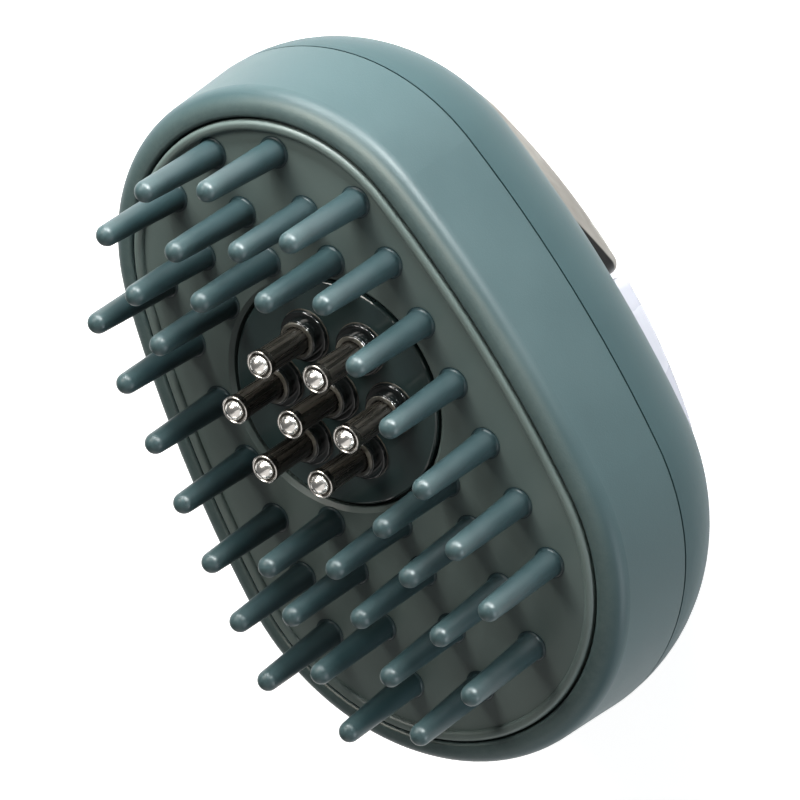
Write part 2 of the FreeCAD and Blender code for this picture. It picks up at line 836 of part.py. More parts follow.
def paddle_pin():
    half = half_width(pocket_step, pin_y, island) + pin_bury - pin_gap
    return cross_cylinder(pin_radius, -half, half, pin_y, pin_z)


def pocket_liner():
    inset = pocket_step + seal_gap
    low = back_z + liner_top
    low_y = pocket_low_y + seal_gap
    liner = island_slice(inset, low, pocket_floor_z, low_y, narrow_reach)
    inner_inset = inset + liner_thickness
    inner_top = pocket_floor_z - liner_thickness
    inner = island_slice(inner_inset, low - past, inner_top, low_y + liner_thickness, narrow_reach)
    liner = liner.cut(inner)
    liner = liner.cut(cylinder(boot_flange_radius + head_gap, low, pocket_floor_z + past, 0, switch_y))
    return liner.cut(cross_cylinder(pin_radius + fit_gap, -wide_radius, wide_radius, pin_y, pin_z))


def switch_boot():
    low = pocket_floor_z - boot_rise
    flange_low = pocket_floor_z - liner_thickness
    inner_top = low + boot_wall
    return turned(lines([
        (0, low), (boot_top_radius, low), (boot_radius, flange_low), (boot_flange_radius, flange_low),
        (boot_flange_radius, pocket_floor_z), (boot_radius - boot_wall, pocket_floor_z),
        (boot_top_radius - boot_wall + head_gap, inner_top), (0, inner_top)]), 0, switch_y)


def switch_stem():
    return cylinder(stem_radius, stem_low, stem_low + stem_length, 0, switch_y)


def switch_body():
    half = switch_size / 2
    low = board_z - switch_height
    body = rounded_box((-half, switch_y - half, low), (half, switch_y + half, board_z), switch_corner)
    deep = stem_low + stem_length + stem_travel + stem_spare
    return body.cut(cylinder(stem_radius + stem_gap, low - past, deep, 0, switch_y))


def board_post_places():
    return [(side * board_post_x, y) for y in board_post_rows for side in (1, -1)]


def main_board():
    board = rounded_box((-board_half_width, board_low_y, board_z),
                        (board_half_width, board_high_y, board_z + board_thickness), board_corner)
    top = board_z + board_thickness
    for x, y in board_post_places():
        board = board.cut(cylinder(small_screw_radius + head_gap, board_z - past, top + past, x, y))
    return board


def battery_cell():
    cell = box((-battery_width / 2, battery_middle_y - battery_length / 2, battery_z),
               (battery_width / 2, battery_middle_y + battery_length / 2, battery_z + battery_height))
    along = [edge for edge in cell.Edges if edge.BoundBox.YLength > battery_length - same_plane]
    return cell.makeFillet(battery_corner, along)


def battery_tray():
    inner_x = battery_width / 2 + battery_gap
    inner_y = battery_length / 2 + battery_gap
    outer_x = inner_x + tray_wall
    outer_y = inner_y + tray_wall
    top = battery_z + tray_wall_height
    tray = box((-outer_x, battery_middle_y - outer_y, tray_z), (outer_x, battery_middle_y + outer_y, top))
    tray = tray.cut(box((-inner_x, battery_middle_y - inner_y, battery_z),
                        (inner_x, battery_middle_y + inner_y, top + past)))
    for side in (1, -1):
        middle = side * rail_x
        tray = tray.fuse(box((middle - rail_width / 2, battery_middle_y - rail_length / 2, inner_floor_z),
                             (middle + rail_width / 2, battery_middle_y + rail_length / 2, tray_z)))
    return tray.removeSplitter()


def socket_prism(grow, low_y, high_y):
    # Oval section of the charging socket, run along Y.
    half = socket_height / 2 + grow
    reach = socket_width / 2 + grow - half
    middle = socket_z + socket_height / 2
    corners = [Vector(-reach, low_y, middle - half), Vector(reach, low_y, middle - half),
               Vector(reach, low_y, middle + half), Vector(-reach, low_y, middle + half)]
    edges = [
        Part.LineSegment(corners[0], corners[1]).toShape(),
        Part.Arc(corners[1], Vector(reach + half, low_y, middle), corners[2]).toShape(),
        Part.LineSegment(corners[2], corners[3]).toShape(),
        Part.Arc(corners[3], Vector(-reach - half, low_y, middle), corners[0]).toShape(),
    ]
    return Part.Face(Part.Wire(edges)).extrude(Vector(0, high_y - low_y, 0))


def charging_socket():
    mouth = -wide_reach + back_inset(socket_z) + socket_recess
    back = mouth + socket_length
    can = socket_prism(0, mouth, back)
    can = can.cut(socket_prism(-socket_wall, mouth - past, back - socket_back))
    middle = socket_z + socket_height / 2
    tongue = box((-tongue_plate_width / 2, back - tongue_plate_length, middle - tongue_plate / 2),
                 (tongue_plate_width / 2, back - socket_wall, middle + tongue_plate / 2))
    return can.fuse(tongue).removeSplitter()


def charge_board():
    low_y, high_y = charge_board_ends()
    return rounded_box((-charge_board_half_width, low_y, charge_board_z),
                       (charge_board_half_width, high_y, socket_z), board_corner)


def motor_can():
    nose_end = motor_high_x + nose_length
    can = cross_cylinder(motor_radius, motor_low_x, motor_high_x, motor_y, motor_z)
    ends = [edge for edge in can.Edges if edge.BoundBox.XLength < same_plane]
    can = can.makeFillet(motor_corner, ends)
    can = can.fuse(cross_cylinder(nose_radius, motor_high_x - same_plane, nose_end, motor_y, motor_z))
    seat = motor_high_x - shaft_seat
    return can.cut(cross_cylinder(shaft_radius + shaft_gap, seat, nose_end + past, motor_y, motor_z))


def motor_end_cap():
    low = motor_low_x - cap_length
    cap = cross_cylinder(cap_radius, low, motor_low_x, motor_y, motor_z)
    outer_edge = [edge for edge in cap.Edges if edge.BoundBox.XMax < low + same_plane]
    return cap.makeFillet(motor_corner, outer_edge)


def motor_shaft():
    inner_end = motor_high_x - shaft_seat + shaft_gap
    return cross_cylinder(shaft_radius, inner_end, motor_high_x + shaft_length, motor_y, motor_z)


def eccentric_weight():
    low = motor_high_x + nose_length + weight_gap
    high = low + weight_length
    sector = cross_cylinder(weight_radius, low, high, motor_y, motor_z)
    sector = sector.common(box((low, motor_y - weight_radius, motor_z - weight_radius),
                               (high, motor_y + weight_radius, motor_z)))
    weight = sector.fuse(cross_cylinder(weight_hub_radius, low, high, motor_y, motor_z))
    weight = weight.cut(cross_cylinder(shaft_radius, low - past, high + past, motor_y, motor_z))
    return weight.removeSplitter()


def strap_screw_places():
    reach = motor_radius + motor_gap + strap_ear / 2 + strap_wall / 2
    return [(motor_middle_x, motor_y + side * reach) for side in (1, -1)]


def motor_cradle():
    reach = motor_radius + motor_gap + strap_wall / 2 + strap_ear
    low_x = motor_middle_x - cradle_length / 2
    cradle = box((low_x, motor_y - reach, motor_z + cradle_split / 2),
                 (low_x + cradle_length, motor_y + reach, retainer_bottom))
    cradle = cradle.cut(cross_cylinder(motor_radius + motor_gap, low_x - past, low_x + cradle_length + past,
                                       motor_y, motor_z))
    for x, y in strap_screw_places():
        hole = cylinder(small_screw_radius + head_gap, motor_z - past, retainer_bottom + past, x, y)
        cradle = cradle.cut(hole)
    return cradle.removeSplitter()


def motor_strap():
    inner = motor_radius + motor_gap
    outer = inner + strap_wall
    reach = inner + strap_wall / 2 + strap_ear
    low_x = motor_middle_x - cradle_length / 2
    high_x = low_x + cradle_length
    top = motor_z - cradle_split / 2
    strap = cross_cylinder(outer, low_x, high_x, motor_y, motor_z)
    strap = strap.common(box((low_x, motor_y - outer, motor_z - outer), (high_x, motor_y + outer, top)))
    ear_low = top - strap_ear_height
    strap = strap.fuse(box((low_x, motor_y - reach, ear_low), (high_x, motor_y + reach, top)))
    strap = strap.cut(cross_cylinder(inner, low_x - past, high_x + past, motor_y, motor_z))
    for x, y in strap_screw_places():
        strap = strap.cut(cylinder(small_screw_radius + head_gap, ear_low - past, top + past, x, y))
    return strap.removeSplitter()


def lead_pair(points):
    # Two round leads side by side along X, on a path of (x, y, z) points with rounded corners.
    leads = []
    for side in (-0.5, 0.5):
        shift = Vector(side * lead_spacing, 0, 0)
        path = [Vector(*point) + shift for point in points]
        edges = []
        start = path[0]
        for before, corner, after in zip(path, path[1:], path[2:]):
            inward = (before - corner).normalize()
            onward = (after - corner).normalize()
            half_turn = inward.getAngle(onward) / 2
            length = lead_turn / math.tan(half_turn)
            middle = (inward + onward).normalize()
            apex = corner + middle * (lead_turn / math.sin(half_turn) - lead_turn)
            edges.append(Part.LineSegment(start, corner + inward * length).toShape())
            start = corner + onward * length
            edges.append(Part.Arc(corner + inward * length, apex, start).toShape())
        edges.append(Part.LineSegment(start, path[-1]).toShape())
        ring = Part.Wire([Part.makeCircle(lead_radius, path[0], path[1] - path[0])])
        leads.append(Part.Wire(edges).makePipeShell([ring], True, False))
    return leads


def battery_leads():
    start_y = battery_middle_y + battery_length / 2
    rise = battery_z + battery_lead_rise
    return lead_pair([(0, start_y, rise), (0, battery_lead_y, rise), (0, battery_lead_y, board_z)])


def motor_leads():
    x = motor_low_x - cap_length / 2
    top = board_z + board_thickness
    start_y = motor_y + cap_radius
    return lead_pair([(x, start_y, motor_z), (x, motor_lead_y, motor_z), (x, motor_lead_y, top)])


def charge_leads():
    rise = socket_z + lead_radius
    start_y = charge_board_ends()[1] - charge_lead_inset
    return lead_pair([(charge_lead_x, start_y, rise), (charge_lead_x, board_low_y, rise)])


def retainer_screws():
    tip = plate_z - plate_skin - thread_gap
    return [screw(x, y, retainer_bottom - small_head_height, retainer_bottom, small_screw_radius,
                  small_head_radius, tip) for x, y in retainer_screw_places()]


def tank_screws():
    under = retainer_bottom - tank_flange
    tip = retainer_bottom + small_screw_bite
    return [screw(x, y, under - small_head_height, under, small_screw_radius, small_head_radius, tip)
            for x, y in tank_screw_places()]


def case_screws():
    top = seat_z - head_gap
    return [screw(x, y, top - case_head_height, top, case_screw_radius, case_head_radius,
                  seat_z - case_screw_length) for x, y in case_screw_places()]


def board_screws():
    under = board_z + board_thickness
    return [screw(x, y, under, under + small_head_height, small_screw_radius, small_head_radius,
                  board_z - small_screw_depth + thread_gap) for x, y in board_post_places()]


def strap_screws():
    under = motor_z - cradle_split / 2 - strap_ear_height
    tip = retainer_bottom + small_screw_bite
    return [screw(x, y, under - small_head_height, under, small_screw_radius, small_head_radius, tip)
            for x, y in strap_screw_places()]


parts = {
    "front_shell": [front_shell()],
    "rear_shell": [rear_shell()],
    "shell_gasket": [shell_gasket()],
    "comb_plate": [comb_plate()],
    "massage_teeth": [massage_tooth(x, y) for x, y in tooth_places()],
    "retainer_plate": [retainer_plate()],
    "retainer_screws": retainer_screws(),
    "case_screws": case_screws(),
    "tank_cup": [tank_cup()],
    "tank_screws": tank_screws(),
    "probe_head": [probe_head()],
    "head_seal": [head_seal()],
    "probe_collars": [probe_collar(x, y) for x, y in probe_places()],
    "probe_tubes": [probe_tube(x, y) for x, y in probe_places()],
    "ball_rims": [ball_rim(x, y) for x, y in probe_places()],
    "rear_panel": [rear_panel()],
    "press_paddle": [press_paddle()],
    "paddle_pin": [paddle_pin()],
    "pocket_liner": [pocket_liner()],
    "switch_boot": [switch_boot()],
    "switch_stem": [switch_stem()],
    "switch_body": [switch_body()],
    "main_board": [main_board()],
    "board_screws": board_screws(),
    "battery_cell": [battery_cell()],
    "battery_tray": [battery_tray()],
    "charging_socket": [charging_socket()],
    "charge_board": [charge_board()],
    "motor_can": [motor_can()],
    "motor_end_cap": [motor_end_cap()],
    "motor_shaft": [motor_shaft()],
    "eccentric_weight": [eccentric_weight()],
    "motor_cradle": [motor_cradle()],
    "motor_strap": [motor_strap()],
    "strap_screws": strap_screws(),
    "battery_leads": battery_leads(),
    "motor_leads": motor_leads(),
    "charge_leads": charge_leads(),
}
for number, (x, y) in enumerate(probe_places(), 1):
    ball = Part.makeSphere(ball_radius, Vector(x, y, ball_z))
    parts["ball_%d" % number] = [ball]
    parts["ball_spring_%d" % number] = [ball_spring(x, y)]

os.makedirs("parts", exist_ok=True)
for name, solids in parts.items():
    shape = solids[0] if len(solids) == 1 else Part.makeCompound(solids)
    print(name, len(shape.Solids), shape.isValid(), round(shape.Volume, 2))
    shape.exportStep("parts/" + name + ".step")
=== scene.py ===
import bpy
import bmesh
import math
from mathutils import Matrix, Vector


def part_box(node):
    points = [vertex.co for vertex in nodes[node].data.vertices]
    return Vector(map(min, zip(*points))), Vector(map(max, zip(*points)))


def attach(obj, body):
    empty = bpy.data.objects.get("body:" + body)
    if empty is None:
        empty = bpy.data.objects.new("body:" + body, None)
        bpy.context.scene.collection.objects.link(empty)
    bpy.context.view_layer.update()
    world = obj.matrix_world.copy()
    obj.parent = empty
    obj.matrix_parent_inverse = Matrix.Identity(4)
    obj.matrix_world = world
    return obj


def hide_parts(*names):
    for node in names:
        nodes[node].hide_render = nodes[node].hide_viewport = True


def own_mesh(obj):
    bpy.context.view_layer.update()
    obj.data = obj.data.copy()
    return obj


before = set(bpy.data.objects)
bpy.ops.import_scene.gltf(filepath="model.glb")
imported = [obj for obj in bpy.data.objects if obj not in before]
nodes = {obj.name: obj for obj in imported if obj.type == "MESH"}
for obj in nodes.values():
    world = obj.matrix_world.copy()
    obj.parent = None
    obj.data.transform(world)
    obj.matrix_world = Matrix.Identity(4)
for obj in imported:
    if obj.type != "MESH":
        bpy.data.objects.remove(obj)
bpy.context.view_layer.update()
mm = 0.001
ballNumbers = range(1, 8)
print("frame loaded with", len(nodes), "nodes")


# node helpers shared by the finishes
def newFinish(name):
    finish = bpy.data.materials.new(name)
    finish.use_nodes = True
    tree = finish.node_tree
    place = tree.nodes.new("ShaderNodeTexCoord")
    return finish, tree, tree.nodes["Principled BSDF"], place.outputs["Object"]


def addNoise(tree, place, scale, detail, roughness, stretch=(1, 1, 1)):
    mapping = tree.nodes.new("ShaderNodeMapping")
    mapping.inputs["Scale"].default_value = stretch
    tree.links.new(place, mapping.inputs["Vector"])
    noise = tree.nodes.new("ShaderNodeTexNoise")
    noise.inputs["Scale"].default_value = scale
    noise.inputs["Detail"].default_value = detail
    noise.inputs["Roughness"].default_value = roughness
    tree.links.new(mapping.outputs["Vector"], noise.inputs["Vector"])
    return noise.outputs["Fac"]


def addRamp(tree, source, positions, colours):
    ramp = tree.nodes.new("ShaderNodeValToRGB")
    for element, position, colour in zip(ramp.color_ramp.elements, positions, colours):
        element.position = position
        element.color = (*colour, 1)
    tree.links.new(source, ramp.inputs["Fac"])
    return ramp.outputs["Color"]


# noise lies mostly between 0.3 and 0.7, so that is spread out unless other ends are given
def addRange(tree, source, low, high, start=0.3, end=0.7):
    spread = tree.nodes.new("ShaderNodeMapRange")
    spread.inputs["From Min"].default_value = start
    spread.inputs["From Max"].default_value = end
    spread.inputs["To Min"].default_value = low
    spread.inputs["To Max"].default_value = high
    tree.links.new(source, spread.inputs["Value"])
    return spread.outputs["Result"]


def addBump(tree, source, strength, depth):
    bump = tree.nodes.new("ShaderNodeBump")
    bump.inputs["Strength"].default_value = strength
    bump.inputs["Distance"].default_value = depth
    tree.links.new(source, bump.inputs["Height"])
    return bump.outputs["Normal"]


def addMix(tree, amount, first, second):
    mix = tree.nodes.new("ShaderNodeMix")
    mix.data_type = "RGBA"
    tree.links.new(amount, mix.inputs["Factor"])
    tree.links.new(first, mix.inputs["A"])
    mix.inputs["B"].default_value = (*second, 1)
    return mix.outputs["Result"]


def splitPlace(tree, place):
    split = tree.nodes.new("ShaderNodeSeparateXYZ")
    tree.links.new(place, split.inputs["Vector"])
    return split.outputs


def addMaths(tree, operation, values, clamp):
    maths = tree.nodes.new("ShaderNodeMath")
    maths.operation = operation
    maths.use_clamp = clamp
    for socket, value in zip(maths.inputs, values):
        if isinstance(value, float):
            socket.default_value = value
        else:
            tree.links.new(value, socket)
    return maths.outputs["Value"]


# what a look has unless it says otherwise
plainLook = {
    "stretch": (1, 1, 1), "cloudDetail": 3.0, "cloudRoughness": 0.55, "cloudStops": (0.32, 0.68),
    "grainDetail": 2.0, "grainRoughness": 0.6, "patch": (0.45, 0.95), "patchFineness": 12,
    "patchDetail": 4.0, "patchRoughness": 0.7,
    "specular": 0.5, "coat": 0.0, "coatGloss": 0.1, "metal": 0.0,
}
evenSockets = {"specular": "Specular IOR Level", "coat": "Coat Weight", "coatGloss": "Coat Roughness",
               "metal": "Metallic"}


# a moulded part: clouded colour, fine spark-eroded grain, a band lightened at given heights (metres),
# which is rubbed wear on some parts and a painted highlight on others, and painted shade past a
# sloping line where a look has one
def mouldedFinish(name, ownLook):
    look = {**plainLook, **ownLook}
    finish, tree, shader, place = newFinish(name)
    cloud = addNoise(tree, place, look["cloudScale"], look["cloudDetail"], look["cloudRoughness"],
                     look["stretch"])
    grain = addNoise(tree, place, look["grainScale"], look["grainDetail"], look["grainRoughness"],
                     look["stretch"])
    colour = addRamp(tree, cloud, look["cloudStops"], (look["dark"], look["light"]))
    gloss = addRange(tree, cloud, *look["gloss"])
    if "wearAndHighlight" in look:
        # the lightened band: rubbed wear on the housing and plate, a painted highlight on the ball
        # rims' lips and the paddle's lower edge, and both on the tooth tips
        wearAndHighlightBand = addRange(tree, splitPlace(tree, place)["Z"], 0.0, 1.0, *look["wearAndHighlightHeights"])
        blotches = addNoise(tree, place, look["cloudScale"] * look["patchFineness"],
                            look["patchDetail"], look["patchRoughness"])
        patch = addRange(tree, blotches, *look["patch"])
        colour = addMix(tree, addMaths(tree, "MULTIPLY", (wearAndHighlightBand, patch), True), colour, look["wearAndHighlight"])
    # painted shade: black past a sloping line, standing in for the shadow in the gap under the
    # paddle's free end
    if "paintedShadeGap" in look:
        parts = splitPlace(tree, place)
        slope = addMaths(tree, "MULTIPLY_ADD", (parts["Y"], look["paintedShadeGapSlope"], parts["Z"]), False)
        paintedShadeMask = addRange(tree, slope, 0.0, 1.0, *look["paintedShadeGapEdge"])
        colour = addMix(tree, paintedShadeMask, colour, look["paintedShadeGap"])
    tree.links.new(colour, shader.inputs["Base Color"])
    tree.links.new(gloss, shader.inputs["Roughness"])
    tree.links.new(addBump(tree, grain, look["grain"], look["grainDepth"]), shader.inputs["Normal"])
    for key, socketName in evenSockets.items():
        shader.inputs[socketName].default_value = look[key]
    return finish


housingLook = {
    "dark": (0.027, 0.051, 0.055), "light": (0.032, 0.058, 0.062), "cloudScale": 70,
    "gloss": (0.38, 0.46), "grainScale": 5200, "grain": 0.40, "grainDepth": 0.00004,
    "specular": 0.17, "wearAndHighlight": (0.062, 0.088, 0.084), "wearAndHighlightHeights": (0.0374, 0.0384),
}
# the rear shell is the same teal plastic as the front shell, painted a little darker here: painted
# shade
rearShadedLook = {
    "dark": (0.0255, 0.048, 0.052), "light": (0.030, 0.0545, 0.0585), "cloudScale": 70,
    "gloss": (0.40, 0.48), "grainScale": 5200, "grain": 0.40, "grainDepth": 0.00004,
    "specular": 0.07,
}
# the comb plate is lighter and greyer-green than the housing teal, partly a painted sheen of warm
# light from above
plateLook = {
    "dark": (0.080, 0.108, 0.101), "light": (0.092, 0.121, 0.113), "cloudScale": 80,
    "gloss": (0.36, 0.44), "grainScale": 5200, "grain": 0.36, "grainDepth": 0.00004,
    "specular": 0.45, "wearAndHighlight": (0.098, 0.126, 0.116), "wearAndHighlightHeights": (0.0382, 0.0387),
}
# the teeth lighten towards their tips: partly rubbed wear, partly painted highlight
toothLook = {
    "dark": (0.0145, 0.031, 0.034), "light": (0.018, 0.036, 0.040), "cloudScale": 150,
    "gloss": (0.36, 0.44), "grainScale": 6500, "grain": 0.12, "grainDepth": 0.00003,
    "specular": 0.28, "wearAndHighlight": (0.042, 0.072, 0.075), "wearAndHighlightHeights": (0.049, 0.0532),
}
discLook = {
    "dark": (0.019, 0.036, 0.036), "light": (0.028, 0.048, 0.047), "cloudScale": 90,
    "gloss": (0.14, 0.20), "grainScale": 2600, "grain": 0.03, "grainDepth": 0.00002,
    "coat": 0.4, "coatGloss": 0.08,
}
sleeveLook = {
    "dark": (0.045, 0.042, 0.034), "light": (0.150, 0.140, 0.115), "cloudScale": 700,
    "gloss": (0.16, 0.24), "grainScale": 2600, "grain": 0.03, "grainDepth": 0.00002,
    "coat": 0.5, "coatGloss": 0.08,
}
collarLook = {
    "dark": (0.006, 0.008, 0.008), "light": (0.010, 0.012, 0.012), "cloudScale": 200,
    "gloss": (0.12, 0.20), "grainScale": 3500, "grain": 0.04, "grainDepth": 0.00002,
    "coat": 0.5, "coatGloss": 0.06,
}
rodLook = {
    "dark": (0.006, 0.006, 0.005), "light": (0.030, 0.026, 0.020), "cloudScale": 2600,
    "gloss": (0.16, 0.42), "grainScale": 5200, "grain": 0.22, "grainDepth": 0.00003,
    "stretch": (1, 1, 0.03),
}
chromeLook = {
    "dark": (0.70, 0.68, 0.645), "light": (0.80, 0.775, 0.735), "cloudScale": 300,
    "gloss": (0.21, 0.27), "grainScale": 9000, "grain": 0.02, "grainDepth": 0.00001,
    "metal": 1.0,
}
# the ball rims: dark metal with a near-white band along the top of the lip, a painted highlight
mouthLook = {
    "dark": (0.10, 0.095, 0.085), "light": (0.16, 0.15, 0.135), "cloudScale": 900,
    "gloss": (0.20, 0.30), "grainScale": 7000, "grain": 0.06, "grainDepth": 0.00001,
    "metal": 1.0,
    "wearAndHighlight": (0.95, 0.92, 0.87), "wearAndHighlightHeights": (0.04764, 0.04768), "patch": (0.9, 1.0),
}
# the paddle's lowest edge is painted lighter, a painted highlight, and its flank past a sloping line
# is painted black, painted shade of the gap under its free end
paddleLook = {
    "dark": (0.175, 0.163, 0.148), "light": (0.22, 0.21, 0.195), "cloudScale": 1100,
    "gloss": (0.28, 0.36), "grainScale": 2600, "grain": 0.12, "grainDepth": 0.00002,
    "metal": 1.0, "stretch": (1, 0.03, 1),
    "wearAndHighlight": (0.62, 0.61, 0.59), "wearAndHighlightHeights": (0.0011, 0.0004), "patch": (0.85, 1.0),
    "paintedShadeGap": (0.008, 0.008, 0.008), "paintedShadeGapSlope": -0.26, "paintedShadeGapEdge": (0.0008, 0.0011),
}
panelLook = {
    "dark": (0.29, 0.29, 0.33), "light": (0.325, 0.325, 0.36), "cloudScale": 60,
    "gloss": (0.20, 0.28), "grainScale": 4000, "grain": 0.04, "grainDepth": 0.00003,
    "specular": 0.4,
}
rubberLook = {
    "dark": (0.006, 0.008, 0.008), "light": (0.012, 0.014, 0.014), "cloudScale": 150,
    "gloss": (0.55, 0.70), "grainScale": 5000, "grain": 0.15, "grainDepth": 0.00004,
    "specular": 0.2,
}
nylonLook = {
    "dark": (0.13, 0.14, 0.14), "light": (0.17, 0.18, 0.18), "cloudScale": 90,
    "gloss": (0.45, 0.55), "grainScale": 4000, "grain": 0.15, "grainDepth": 0.00004,
}
tankLook = {
    "dark": (0.62, 0.64, 0.62), "light": (0.70, 0.72, 0.70), "cloudScale": 60,
    "gloss": (0.18, 0.28), "grainScale": 2500, "grain": 0.05, "grainDepth": 0.00003,
}
steelLook = {
    "dark": (0.48, 0.47, 0.45), "light": (0.60, 0.59, 0.57), "cloudScale": 400,
    "gloss": (0.24, 0.38), "grainScale": 6000, "grain": 0.1, "grainDepth": 0.00002,
    "metal": 1.0,
}
boardLook = {
    "dark": (0.010, 0.085, 0.035), "light": (0.018, 0.130, 0.055), "cloudScale": 420,
    "gloss": (0.25, 0.40), "grainScale": 1800, "grain": 0.12, "grainDepth": 0.00004,
    "stretch": (1, 0.25, 1),
}
cellLook = {
    "dark": (0.50, 0.52, 0.55), "light": (0.66, 0.68, 0.70), "cloudScale": 240,
    "gloss": (0.22, 0.40), "grainScale": 700, "grain": 0.25, "grainDepth": 0.00008,
    "metal": 0.7,
}
giltLook = {
    "dark": (0.62, 0.42, 0.14), "light": (0.78, 0.56, 0.22), "cloudScale": 900,
    "gloss": (0.18, 0.30), "grainScale": 6000, "grain": 0.08, "grainDepth": 0.00001,
    "metal": 1.0,
}
leadLook = {
    "dark": (0.33, 0.018, 0.015), "light": (0.42, 0.030, 0.024), "cloudScale": 300,
    "gloss": (0.35, 0.45), "grainScale": 3000, "grain": 0.08, "grainDepth": 0.00003,
}

finishes = {
    "housing": mouldedFinish("tealHousing", housingLook),
    "rear": mouldedFinish("tealRearShaded", rearShadedLook),
    "plate": mouldedFinish("combPlate", plateLook),
    "tooth": mouldedFinish("tealTooth", toothLook),
    "disc": mouldedFinish("smokyDisc", discLook),
    "sleeve": mouldedFinish("smokySleeve", sleeveLook),
    "collar": mouldedFinish("blackCollar", collarLook),
    "rod": mouldedFinish("streakedRod", rodLook),
    "chrome": mouldedFinish("chrome", chromeLook),
    "mouth": mouldedFinish("mouthPaintedHighlightLip", mouthLook),
    "paddle": mouldedFinish("silverPaddle", paddleLook),
    "panel": mouldedFinish("palePanel", panelLook),
    "rubber": mouldedFinish("darkRubber", rubberLook),
    "nylon": mouldedFinish("greyNylon", nylonLook),
    "tank": mouldedFinish("milkyTank", tankLook),
    "steel": mouldedFinish("brightSteel", steelLook),
    "board": mouldedFinish("greenBoard", boardLook),
    "cell": mouldedFinish("foilCell", cellLook),
    "lead": mouldedFinish("leadSleeve", leadLook),
    "gilt": mouldedFinish("giltContact", giltLook),
}
wears = {
    "housing": ["front_shell"], "rear": ["rear_shell"], "plate": ["comb_plate"],
    "disc": ["probe_head"], "collar": ["switch_body"], "rod": ["probe_tubes"],
    "mouth": ["ball_rims"], "chrome": ["ball_%d" % number for number in ballNumbers],
    "paddle": ["press_paddle"], "panel": ["rear_panel"], "rubber": ["shell_gasket", "head_seal"],
    "nylon": ["retainer_plate", "pocket_liner", "switch_stem", "battery_tray", "motor_cradle",
              "motor_strap", "motor_end_cap"],
    "tank": ["tank_cup"], "board": ["main_board", "charge_board"], "cell": ["battery_cell"],
    "steel": ["retainer_screws", "case_screws", "tank_screws", "board_screws", "strap_screws",
              "paddle_pin", "charging_socket", "motor_can", "motor_shaft", "eccentric_weight"],
    "lead": ["battery_leads", "motor_leads", "charge_leads"],
}
for finishName, nodeNames in wears.items():
    for nodeName in nodeNames:
        nodes[nodeName].data.materials.clear()
        nodes[nodeName].data.materials.append(finishes[finishName])
print("finishes on", sum(len(nodeNames) for nodeNames in wears.values()), "of", len(nodes), "nodes")


# where each solid of a node stands: the middle of every mesh island
def islandMiddles(nodeName, weld=1e-6):
    bm = bmesh.new()
    bm.from_mesh(nodes[nodeName].data)
    bmesh.ops.remove_doubles(bm, verts=bm.verts, dist=weld)
    seen, middles = set(), []
    for seed in bm.verts:
        if seed in seen:
            continue
        seen.add(seed)
        reach, island = [seed], []
        while reach:
            vert = reach.pop()
            island.append(vert.co)
            for edge in vert.link_edges:
                other = edge.other_vert(vert)
                if other not in seen:
                    seen.add(other)
                    reach.append(other)
        middles.append(tuple((min(co[axis] for co in island) + max(co[axis] for co in island)) / 2
                             for axis in (0, 1)))
    bm.free()
    return middles


# points of an arc in an outline, from one angle to another in degrees
def arcPoints(centre, radius, start, end, count):
    turns = [math.radians(start + (end - start) * step / count) for step in range(count + 1)]
    return [(centre[0] + radius * math.cos(turn), centre[1] + radius * math.sin(turn))
            for turn in turns]


# a finished bmesh becomes a smooth object at the origin, with edges sharp past an angle in degrees
def addPiece(name, bm, finish, sharp=40):
    mesh = bpy.data.meshes.new(name)
    bm.to_mesh(mesh)
    bm.free()
    mesh.shade_smooth()
    mesh.set_sharp_from_angle(angle=math.radians(sharp))
    mesh.materials.append(finish)
    piece = bpy.data.objects.new(name, mesh)
    bpy.context.scene.collection.objects.link(piece)
    return piece


# one object of turned pieces: an outline in millimetres spun once, then copied to each place
def turnedPieces(name, outline, places, steps, finish, closed=False, weld=1e-7):
    bm = bmesh.new()
    verts = [bm.verts.new((radius * mm, 0, height * mm)) for radius, height in outline]
    ends = verts[1:] + verts[:1] if closed else verts[1:]
    edges = [bm.edges.new(pair) for pair in zip(verts, ends)]
    bmesh.ops.spin(bm, geom=verts + edges, cent=(0, 0, 0), axis=(0, 0, 1), angle=2 * math.pi,
                   steps=steps, use_merge=True)
    bmesh.ops.remove_doubles(bm, verts=bm.verts, dist=weld)
    bmesh.ops.recalc_face_normals(bm, faces=bm.faces)
    single = bpy.data.meshes.new(name + "Single")
    bm.to_mesh(single)
    bm.clear()
    for x, y in places:
        first = len(bm.verts)
        bm.from_mesh(single)
        bm.verts.ensure_lookup_table()
        bmesh.ops.translate(bm, verts=bm.verts[first:], vec=(x, y, 0))
    bpy.data.meshes.remove(single)
    return addPiece(name, bm, finish)


# the teeth, with a small fillet where each one leaves the plate
tooth = {
    "seat": 34.6, "flange": 2.4, "under": 36.0, "face": 37.82, "base": 1.8, "foot": 0.34,
    "footSteps": 5, "loops": (0.3, 0.6), "tip": 1.4, "tipSteps": 9, "top": 53.2, "steps": 40,
}
toothCrown = tooth["top"] - tooth["tip"]
footMiddle = (tooth["base"] + tooth["foot"], tooth["face"] + tooth["foot"])
toothOutline = (
    [(0, tooth["seat"]), (tooth["flange"], tooth["seat"]), (tooth["flange"], tooth["under"]),
     (tooth["base"], tooth["under"]), (tooth["base"], tooth["face"])]
    + arcPoints(footMiddle, tooth["foot"], 270, 180, tooth["footSteps"])
    + [(tooth["base"] + (tooth["tip"] - tooth["base"]) * share,
        tooth["face"] + (toothCrown - tooth["face"]) * share) for share in tooth["loops"]]
    + arcPoints((0, toothCrown), tooth["tip"], 0, 90, tooth["tipSteps"]))
scalpTeeth = turnedPieces("scalpTeeth", toothOutline, islandMiddles("massage_teeth"),
                          tooth["steps"], finishes["tooth"])
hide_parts("massage_teeth")
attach(scalpTeeth, "housing")
